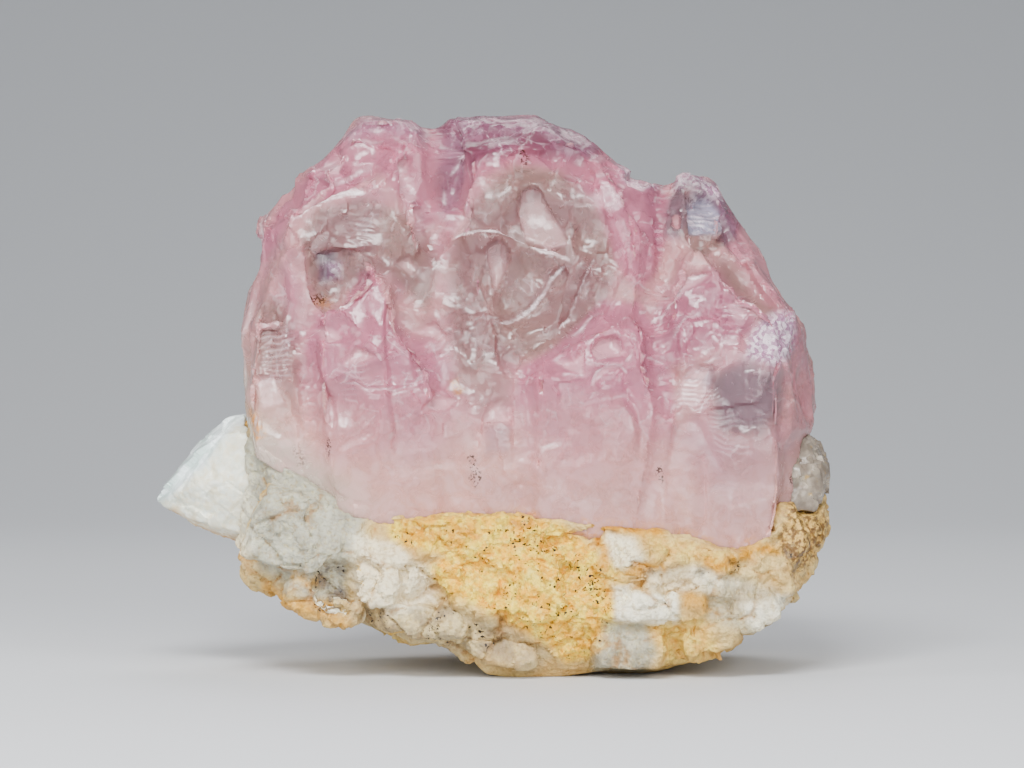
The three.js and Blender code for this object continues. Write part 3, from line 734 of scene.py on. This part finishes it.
# Node helpers
class Nodes:
    """Builds a material's nodes one after another."""

    def __init__(self, name):
        self.material = bpy.data.materials.new(name)
        self.material.use_nodes = True
        self.tree = self.material.node_tree
        self.shader = self.tree.nodes["Principled BSDF"]
        self.shader.subsurface_method = "BURLEY"
        self.output = self.tree.nodes["Material Output"]
        self.place = self.new("ShaderNodeTexCoord").outputs["Object"]

    def new(self, kind, inputs=None, **settings):
        node = self.tree.nodes.new(kind)
        for key, value in settings.items():
            setattr(node, key, value)
        for key, value in (inputs or {}).items():
            self.feed(node.inputs[key], value)
        return node

    def feed(self, socket, value):
        if isinstance(value, bpy.types.NodeSocket):
            self.tree.links.new(value, socket)
        else:
            socket.default_value = value

    def marked(self, names):
        """The skin's marks with these names, which spaces divide."""
        return [self.new("ShaderNodeAttribute", attribute_name=name).outputs["Fac"] for name in names.split()]

    def noise(self, size, detail=4.0, roughness=0.55, distortion=0.0, place=None):
        """Noise with features of about this size in millimetres."""
        inputs = {"Vector": place or self.place, "Scale": 1 / (size * MM), "Detail": detail}
        inputs.update({"Roughness": roughness, "Distortion": distortion})
        return self.new("ShaderNodeTexNoise", inputs).outputs["Fac"]

    def cells(self, size, place=None, **settings):
        """Irregular cells of about this size in millimetres."""
        inputs = {"Vector": place or self.place, "Scale": 1 / (size * MM)}
        return self.new("ShaderNodeTexVoronoi", inputs, **settings).outputs

    def grains(self, size):
        """A number from 0 to 1 for each cell."""
        return self.new("ShaderNodeSeparateColor", {"Color": self.cells(size)["Color"]}).outputs["Red"]

    def cracks(self, size, place):
        """The distance from the nearest border between cells."""
        return self.cells(size, place, feature="DISTANCE_TO_EDGE")["Distance"]

    def plates(self, size):
        """The height, in parts of this size in millimetres, of flat faces that slope at random."""
        cells = self.cells(size)
        away = self.new("ShaderNodeVectorMath", {0: self.place, 1: cells["Position"]}, operation="SUBTRACT")
        lean = self.new("ShaderNodeVectorMath", {0: cells["Color"], 1: (0.5, 0.5, 0.5)}, operation="SUBTRACT")
        both = {0: away.outputs[0], 1: lean.outputs[0]}
        slope = self.new("ShaderNodeVectorMath", both, operation="DOT_PRODUCT")
        return self.math("DIVIDE", slope.outputs["Value"], size * MM)

    def warped(self, size, distance):
        """The place, moved about by noise: both in millimetres."""
        noise = self.new("ShaderNodeTexNoise", {"Vector": self.place, "Scale": 1 / (size * MM), "Detail": 1})
        moved = self.new("ShaderNodeVectorMath", {0: noise.outputs["Color"]}, operation="SCALE")
        self.feed(moved.inputs["Scale"], 2 * distance * MM)
        both = {0: self.place, 1: moved.outputs[0]}
        return self.new("ShaderNodeVectorMath", both, operation="ADD").outputs[0]

    def math(self, operation, a, b=0.0):
        return self.new("ShaderNodeMath", {0: a, 1: b}, operation=operation).outputs[0]

    def times(self, first, *others):
        for other in others:
            first = self.math("MULTIPLY", first, other)
        return first

    def plus(self, first, *others):
        for other in others:
            first = self.math("ADD", first, other)
        return first

    def ramp(self, value, low, high, start=0.0, end=1.0):
        """Goes smoothly from start to end as value goes from low to high."""
        inputs = {"Value": value, "From Min": low, "From Max": high, "To Min": start, "To Max": end}
        return self.new("ShaderNodeMapRange", inputs, interpolation_type="SMOOTHSTEP").outputs["Result"]

    def mix(self, factor, a, b):
        node = self.new("ShaderNodeMix", data_type="RGBA")
        self.feed(node.inputs["Factor"], factor)
        self.feed(node.inputs["A"], a)
        self.feed(node.inputs["B"], b)
        return node.outputs["Result"]

    def painted(self, body, *layers):
        """A colour with others laid over it one by one: (how much, which)."""
        for amount, layer in layers:
            body = self.mix(amount, body, layer)
        return body

    def bump(self, height, distance, strength=1.0, under=None):
        """Relief of this height in millimetres."""
        inputs = {"Height": height, "Distance": distance * MM, "Strength": strength}
        if under is not None:
            inputs["Normal"] = under
        return self.new("ShaderNodeBump", inputs).outputs["Normal"]

    def stretched(self, scale, turn=(0, 0, 0)):
        inputs = {"Vector": self.place, "Scale": scale, "Rotation": turn}
        return self.new("ShaderNodeMapping", inputs).outputs["Vector"]

    def deepened(self, color, amount):
        """A darker and fuller colour, because the picture's tone curve pales it again."""
        return self.new("ShaderNodeGamma", {"Color": color, "Gamma": amount}).outputs["Color"]

    def absorb(self, color, density):
        haze = self.new("ShaderNodeVolumeAbsorption", {"Color": (*color, 1), "Density": density})
        self.feed(self.output.inputs["Volume"], haze.outputs["Volume"])

    def set(self, **inputs):
        for key, value in inputs.items():
            self.feed(self.shader.inputs[key.replace("_", " ")], value)


def color(red, green, blue):
    """A colour as it looks on a screen, from 0 to 255, as linear light."""
    return (*[(part / 255) ** 2.2 for part in (red, green, blue)], 1)


def rose_quartz_material():
    n = Nodes("rose_quartz")
    pink, clear, bluish, dusky, milky, greyed = n.marked("pink clear bluish dusky milky greyed")
    drusy, glint, rim, rippled, specks, stain = n.marked("drusy glint rim rippled specks stain")
    cloud = n.noise(6, detail=2)
    wisp = n.noise(2.2, detail=3, roughness=0.65, distortion=0.8)
    fine = n.noise(0.6, detail=2, roughness=0.6)
    # rim: where the painted highlights on the lips go, broken up by the wisps
    rim = n.times(n.ramp(rim, 0.2, 0.8), n.ramp(wisp, 0.38, 0.6, 0.5, 1))
    upper = n.ramp(milky, 0, 0.7, 1, 0.2)
    height = n.new("ShaderNodeSeparateXYZ", {"Vector": n.place}).outputs["Z"]
    bands = n.math("SINE", n.plus(n.times(height, 2 * math.pi / (RIPPLE * MM)), n.times(cloud, 40.0)))
    broken = n.times(rippled, n.ramp(wisp, 0.42, 0.56))
    dots = n.times(n.ramp(n.noise(0.3, detail=1), 0.5, 0.56), n.ramp(specks, 0.15, 0.5))
    crack = n.ramp(n.cracks(4.6, n.warped(3, 0.9)), 0.0, 0.03, 1, 0)

    hazy = n.mix(n.ramp(cloud, 0.35, 0.65), color(200, 146, 156), color(200, 152, 152))
    smoky = n.mix(n.ramp(cloud, 0.4, 0.65), color(176, 138, 138), color(178, 144, 138))
    rosy = n.mix(n.ramp(wisp, 0.35, 0.7), color(194, 128, 148), color(184, 114, 136))
    plum = n.mix(n.ramp(wisp, 0.4, 0.65), color(130, 80, 98), color(150, 104, 124))
    milk = n.mix(n.ramp(wisp, 0.4, 0.6), color(216, 176, 168), color(204, 156, 142))
    # sparkles: the drusy grains' colour, with painted glints, some grains near white and some darker
    sparkles = n.mix(n.ramp(n.grains(0.5), 0.35, 0.7), color(190, 154, 184), color(255, 244, 255))
    # shine: the colour of the painted highlight on the flat breaks, bluish white in the window
    shine = n.mix(bluish, color(236, 206, 208), color(220, 230, 252))
    body = n.painted(
        hazy,
        (n.ramp(clear, 0.05, 0.9), smoky),
        (n.ramp(pink, 0.0, 0.95, 0, 0.85), rosy),
        (n.times(dusky, 0.95), plum),
        (n.times(milky, 0.8), milk),
        (n.times(greyed, n.ramp(wisp, 0.3, 0.6, 0.5, 0.9)), color(192, 180, 168)),
        # dark blue-grey: the bluish haze, and painted shade in the groove, the pocket and at the window's
        # sides
        (n.times(bluish, 0.7), color(120, 110, 130)),
        (n.ramp(wisp, 0.6, 0.8, 0, 0.3), color(236, 212, 214)),
        # drusy grains with painted glints
        (n.times(drusy, 0.8), sparkles),
        # painted highlight on the flat breaks
        (n.times(glint, 0.35), shine),
        # painted highlight: white along the lips of ledges and breaks
        (n.times(rim, n.ramp(fine, 0.2, 0.6, 0.5, 1)), color(252, 242, 244)),
        (n.times(stain, n.ramp(fine, 0.35, 0.6)), color(222, 156, 70)),
        # Light bands on the ripples' crests and dark bands in their troughs: painted highlight and painted
        # shade
        (n.times(broken, n.ramp(bands, 0.3, 0.9, 0, 0.5)), color(240, 222, 230)),
        (n.times(broken, n.ramp(bands, -0.4, -0.9, 0, 0.4)), color(132, 104, 122)),
        (n.times(dots, 0.9), color(70, 46, 30)),
        (n.times(crack, n.ramp(wisp, 0.5, 0.6), upper, 0.4), color(250, 232, 236)),
    )

    ripples = n.times(n.noise(1.2, detail=0, place=n.stretched((0.4, 0.4, 1))), 0.06)
    grit = n.times(fine, n.ramp(drusy, 0, 1, 0.03, 0.5))
    relief = n.plus(n.times(bands, rippled, 0.02), ripples, n.times(n.plates(2.2), upper, 0.3), grit)
    rough = n.ramp(wisp, 0.35, 0.7, 0.14, 0.34)
    see_through = n.ramp(n.math("SUBTRACT", clear, dusky), 0, 1, 0.3, 0.55)
    # less see-through under the painted highlights of the rims and glints, and at the dark specks
    solid = n.math("MAXIMUM", n.times(rim, 0.8), n.math("MAXIMUM", dots, n.times(glint, 0.5)))
    see_through = n.times(see_through, n.ramp(solid, 0, 1, 1, 0), n.ramp(milky, 0.2, 1, 1, 0.4))
    n.set(Base_Color=n.deepened(body, 1.25), Roughness=rough, Normal=n.bump(relief, 1.0))
    n.set(IOR=QUARTZ_IOR, Specular_IOR_Level=0.4, Transmission_Weight=see_through)
    n.set(Subsurface_Weight=1.0, Subsurface_Scale=0.001, Subsurface_Radius=(1.0, 0.75, 0.8))
    n.absorb((0.86, 0.56, 0.62), 40.0)
    return n.material


# The rock
SUGARY = drawn({
    "middle": (1.0, 6,
        "388,512 430,506 515,502 560,514 592,540 602,572 612,604 598,642 566,650 540,628 500,604 450,584 "
        "428,562 446,545 396,532"),
    "right of it": (0.6, 8, "592,520 625,540 620,570 600,574"),
    "under the seat, right": (0.4, 10, "640,520 720,540 720,556 650,548"),
    "right foot": (0.5, 10, "640,610 700,606 712,640 660,655"),
})
QUARTZ = drawn({
    "left": (0.9, 9, "242,420 262,430 300,450 345,484 372,498 362,536 350,586 322,590 262,566 240,500"),
    "low ledge": (0.3, 6, "352,596 450,590 522,622 548,644 534,662 480,648 360,622"),
    "glassy lump": (0.8, 6, "600,612 640,604 652,640 640,664 592,664 592,636"),
    "right lumps": (0.6, 8, "690,560 735,566 784,586 780,612 740,622 700,606"),
})
WHITE = drawn({
    "block": (1.0, 4, "612,576 672,578 672,608 610,608"),
    "left blobs": (0.7, 7, "356,522 400,534 432,562 440,592 400,602 360,590"),
    "right lump": (0.9, 6, "736,592 782,584 786,610 748,620"),
    "lump under the crystals": (0.8, 6, "600,520 630,526 640,548 615,556 598,544"),
    "long lump": (0.6, 6, "640,556 700,552 730,572 690,580 642,576"),
    "left edge": (0.6, 8, "240,430 262,500 256,560 236,540"),
})
RUSTY = drawn({
    "seam left": (1.0, 6, "246,406 256,418 266,432"),
    "seam": (1.0, 5, "504,512 516,516 532,511"),
    "seam right": (1.0, 6, "588,522 604,516 630,518 664,522"),
    "far right": (1.0, 6, "694,546 712,556 730,546 760,540 778,544"),
    "cracks": (0.9, 5, "590,524 600,540 598,566 606,590"),
    "crack": (0.8, 4, "612,560 640,552 664,556"),
    "rich grains": (0.7, 10, "400,520 440,524 484,520"),
    "yellow patch": (0.7, 6, "676,590 696,588 700,602"),
    "low grains": (0.6, 9, "560,620 590,626 600,640"),
    "left lobe": (0.7, 5, "262,578 290,590 330,598 350,610"),
    "left lobe's top": (0.6, 5, "296,566 312,572 334,574"),
    "under the wedge": (0.6, 5, "236,540 252,552 262,556"),
})
# Darker grey: dust and dark specks, and painted shade on the low ledge and in the two holes
DIRT_AND_SHADE = drawn({
    "left patch": (1.0, 6, "324,556 346,548 354,590 344,604 322,596"),
    "left dust": (0.4, 8, "250,500 280,500 280,530 254,530"),
    "low ledge": (0.5, 8, "352,598 450,596 522,626 534,652 480,642 360,618"),
    "specks": (0.9, 12, "440,540 500,516 560,536 596,560 604,610 560,616 500,580 450,570"),
    "far right": (0.8, 6, "778,540 800,545 790,575 774,560"),
    "hole": (0.9, 3, "722,548 734,552 724,562 716,558"),
    "right hole": (0.7, 4, "694,554 712,560 704,568 690,564"),
})
GOLDEN = drawn({
    "glitter": (1.0, 5, "784,492 800,484 826,520 812,552 790,562 766,540 776,516"),
})


# Blocks: size, hollow, slope and seed
BLOCKS = ((6.5, -0.3, 0.14, 81), (3.0, -0.1, 0.16, 82), (1.4, -0.05, 0.14, 83))


def make_rock():
    piece = skin("matrix_rock", "matrix_rock_skin", VOXEL, 3)
    points, facing = read_skin(piece)
    wander = wandering(points, 6, 71)
    places = seen(points) + 5 * wander[:, :2]
    front = soft_step(-facing[:, 1], -0.3, 0.2)
    behind = seen(points * (-1, 1, 1)) + 20 * wander[:, :2]

    def marks(table, spread=patches):
        return front * spread(places, table) + (1 - front) * spread(behind, table)

    zones = {"sugary": marks(SUGARY), "quartz": marks(QUARTZ), "white": marks(WHITE)}
    zones.update({"rusty": marks(RUSTY, traces), "dirty": marks(DIRT_AND_SHADE), "golden": marks(GOLDEN)})
    spots = (points + 1.2 * wander) * (1, 1, 1.4)
    smooth = 1 - 0.75 * zones["quartz"]
    depth = 1.2 * smooth * terraces(layered_noise(spots, 9, 78, 2), 6)
    depth += smooth * scarred(spots, BLOCKS)[0]
    size, _, _, seed = BLOCKS[0]
    nearest, second, _, _ = chips(spots, size, seed)
    zones["crevice"] = (1 - soft_step(second - nearest, 0, 0.1)) * (1 - zones["sugary"]) * front
    depth += 0.25 * zones["crevice"]
    crumbs, _ = facets(points, 0.9, -0.1, 0.3, 84)
    depth += (0.2 + 0.5 * zones["sugary"]) * crumbs
    depth += 0.5 * front * patches(places, {name: DIRT_AND_SHADE[name] for name in ("hole", "right hole")})
    depth = np.where(above_seam(points) > -1.5, 0.5 * depth + 0.2, depth)
    standing = soft_step(points[:, 2], 0.2, 2.5)
    write_skin(piece, points - (depth * standing)[:, None] * facing)
    mark(piece, **zones)
    finish_piece(piece, "matrix_rock", rock_material())


def rock_material():
    n = Nodes("feldspar_rock")
    sugary, quartz, white, rusty = n.marked("sugary quartz white rusty")
    dirty, golden, crevice = n.marked("dirty golden crevice")
    cloud = n.noise(5, detail=4, roughness=0.6)
    patch = n.noise(1.8, detail=3, roughness=0.6)
    fine = n.noise(0.5, detail=2)
    grain_tag = n.grains(0.4)

    cream = n.mix(n.ramp(cloud, 0.35, 0.65), color(230, 206, 150), color(210, 176, 116))
    yellow = n.mix(n.ramp(patch, 0.4, 0.6), color(255, 226, 96), color(252, 196, 50))
    grey = n.mix(n.ramp(patch, 0.3, 0.7), color(198, 200, 186), color(168, 168, 158))
    flakes = n.mix(n.ramp(n.noise(0.7, detail=3), 0.42, 0.58), color(126, 96, 60), color(226, 190, 118))
    clusters = n.ramp(n.noise(2.4, detail=1), 0.5, 0.6)
    speckled = n.ramp(n.times(n.math("MAXIMUM", n.times(sugary, 0.45), dirty), clusters), 0.2, 0.4)
    # dust, and painted shade on the low ledge and in the holes
    dust_and_shade = n.times(dirty, n.ramp(patch, 0.42, 0.6), n.ramp(sugary, 0, 0.5, 1, 0))
    body = n.painted(
        cream,
        (sugary, yellow),
        (quartz, grey),
        (n.times(white, n.ramp(patch, 0.2, 0.5, 0.85, 1)), color(255, 250, 228)),
        (n.times(rusty, n.ramp(patch, 0.3, 0.5, 0.3, 1)), color(220, 164, 46)),
        (n.times(golden, 0.9), flakes),
        (n.times(crevice, n.ramp(patch, 0.45, 0.6, 0, 0.6)), color(178, 132, 72)),
        (n.ramp(fine, 0.5, 0.3, 0, 0.32), color(168, 134, 70)),
        (n.times(n.ramp(grain_tag, 0.6, 1.0, 0.0, 0.35), n.ramp(sugary, 0, 1, 0.3, 1)), color(255, 240, 160)),
        (n.times(n.ramp(grain_tag, 0.3, 0.0, 0.0, 0.3), n.ramp(sugary, 0, 1, 0.2, 1)), color(190, 136, 64)),
        (n.times(n.ramp(n.noise(0.4, detail=1), 0.6, 0.65), speckled), color(48, 40, 34)),
        # grey dust, with painted shade on the low ledge and in the holes
        (n.times(dust_and_shade, 0.75), color(116, 112, 110)),
    )

    shine = n.times(n.math("MAXIMUM", golden, 0.3), n.ramp(grain_tag, 0.8, 0.86))
    rough = n.math("SUBTRACT", n.ramp(grain_tag, 0.0, 1.0, 0.4, 0.65), n.times(shine, 0.4))
    sugar = n.times(n.plates(0.55), n.ramp(sugary, 0, 1, 0.3, 0.6))
    relief = n.plus(n.times(fine, 0.3), n.plates(2.4), sugar)
    n.set(Base_Color=n.deepened(body, 1.3), Roughness=rough, Normal=n.bump(relief, 1.0))
    n.set(IOR=FELDSPAR_IOR, Specular_IOR_Level=0.3)
    return n.material


# The feldspar block at the left
WEDGE_RIDGE = places_in("150,506 176,491 214,456 236,420 244,400")
CREAMY_FACE = places_in("152,506 178,492 214,458 238,422 260,420 260,560 180,530")
CRUMBLY_RIM = drawn({
    "rim": (1.0, 9, "166,508 182,522 205,532 232,540 252,548"),
})
CLEAVAGE = ((0.62, 0.1, 0.78), (-0.78, 0.15, 0.6))  # the ways that the cleavage leaves are stacked


def make_feldspar():
    piece = skin("feldspar_block", "feldspar_block_skin", 0.2, 2)
    points, facing = read_skin(piece)
    left_side = points[:, 0].min()
    points[:, 0] = left_side + 1.1 * (points[:, 0] - left_side)
    wander = wandering(points, 4, 101)
    places = seen(points) + 3 * wander[:, :2]
    creamy = within(places, CREAMY_FACE, 5)
    signed, _ = beside(seen(points), WEDGE_RIDGE)
    depth = np.where(facing[:, 1] < -0.2, 0.06 * np.clip(-signed, 0, 30), 0)
    for way, leaf in zip(CLEAVAGE, (2.6, 3.4)):
        t = (points + 0.25 * wander) @ np.array(way) / leaf
        depth += 0.14 * (t - np.floor(t) - 0.5)
    chip, _ = facets(points + 0.4 * wander, 3.6, -0.2, 0.06, 111)
    crumbs, _ = facets(points, 1.1, -0.1, 0.2, 112)
    depth += chip + (0.1 + 0.5 * creamy) * crumbs
    write_skin(piece, points - depth[:, None] * facing)
    mark(piece, creamy=creamy, rusty=traces(places, CRUMBLY_RIM))
    finish_piece(piece, "feldspar_block", feldspar_material())


def feldspar_material():
    n = Nodes("blue_white_feldspar")
    creamy, rusty = n.marked("creamy rusty")
    cloud = n.noise(3.0, detail=5, roughness=0.6)
    patch = n.noise(1.2, detail=5)
    grain_tag = n.grains(0.6)
    white = n.mix(n.ramp(cloud, 0.4, 0.62), color(240, 248, 248), color(196, 214, 208))
    pale = n.mix(n.ramp(patch, 0.35, 0.6), color(238, 238, 218), color(222, 214, 184))
    body = n.painted(
        white,
        (n.times(creamy, n.ramp(grain_tag, 0, 1, 0.6, 1)), pale),
        (n.times(rusty, n.ramp(patch, 0.3, 0.5, 0.2, 1)), color(196, 146, 76)),
    )
    rough = n.ramp(creamy, 0, 1, 0.25, 0.55)
    normal = n.bump(n.noise(0.7, detail=3, place=n.stretched((0.2, 0.3, 1), (0.2, 0.9, 0.3))), 0.2, 0.5)
    normal = n.bump(grain_tag, 0.12, n.times(creamy, 0.7), normal)
    normal = n.bump(n.noise(0.3, detail=4), 0.06, 0.4, normal)
    n.set(Base_Color=body, Roughness=rough, Normal=normal)
    n.set(IOR=FELDSPAR_IOR, Subsurface_Weight=0.6, Subsurface_Scale=0.001, Subsurface_Radius=(0.8, 0.95, 1.0))
    return n.material


# The milky quartz at the right
BREAKS = ((4.0, 0.3, 0.18, 121), (1.8, 0.08, 0.2, 122))  # size, hollow, slope and seed
WIDENED = 1.7  # to the left, into the crystals
FORWARD = 0.8  # millimetres


def make_milky_quartz():
    piece = skin("milky_quartz", "milky_quartz_skin", 0.22, 2)
    points, facing = read_skin(piece)
    right_side = points[:, 0].max()
    points[:, 0] = right_side - WIDENED * (right_side - points[:, 0])
    points[:, 1] -= FORWARD
    depth, _ = scarred(points, BREAKS)
    write_skin(piece, points - depth[:, None] * facing)
    finish_piece(piece, "milky_quartz", milky_quartz_material())


def milky_quartz_material():
    n = Nodes("milky_quartz")
    cloud = n.noise(2.5, detail=5, roughness=0.6)
    body = n.mix(n.ramp(cloud, 0.4, 0.64), color(156, 142, 126), color(178, 166, 148))
    body = n.mix(n.ramp(n.noise(1.4, detail=4), 0.58, 0.7, 0, 0.7), body, color(206, 168, 90))
    rough = n.ramp(cloud, 0.35, 0.7, 0.12, 0.3)
    normal = n.bump(n.noise(0.6, detail=4), 0.12, 0.5)
    n.set(Base_Color=body, Roughness=rough, Normal=normal)
    n.set(IOR=QUARTZ_IOR, Transmission_Weight=n.ramp(cloud, 0.3, 0.7, 0.55, 0.3))
    n.set(Subsurface_Weight=1.0, Subsurface_Scale=0.0015, Subsurface_Radius=(1.0, 0.95, 0.9))
    n.absorb((0.7, 0.68, 0.6), 50.0)
    return n.material


add_camera()
add_floor()
add_lights()
make_crystals()
make_rock()
make_feldspar()
make_milky_quartz()
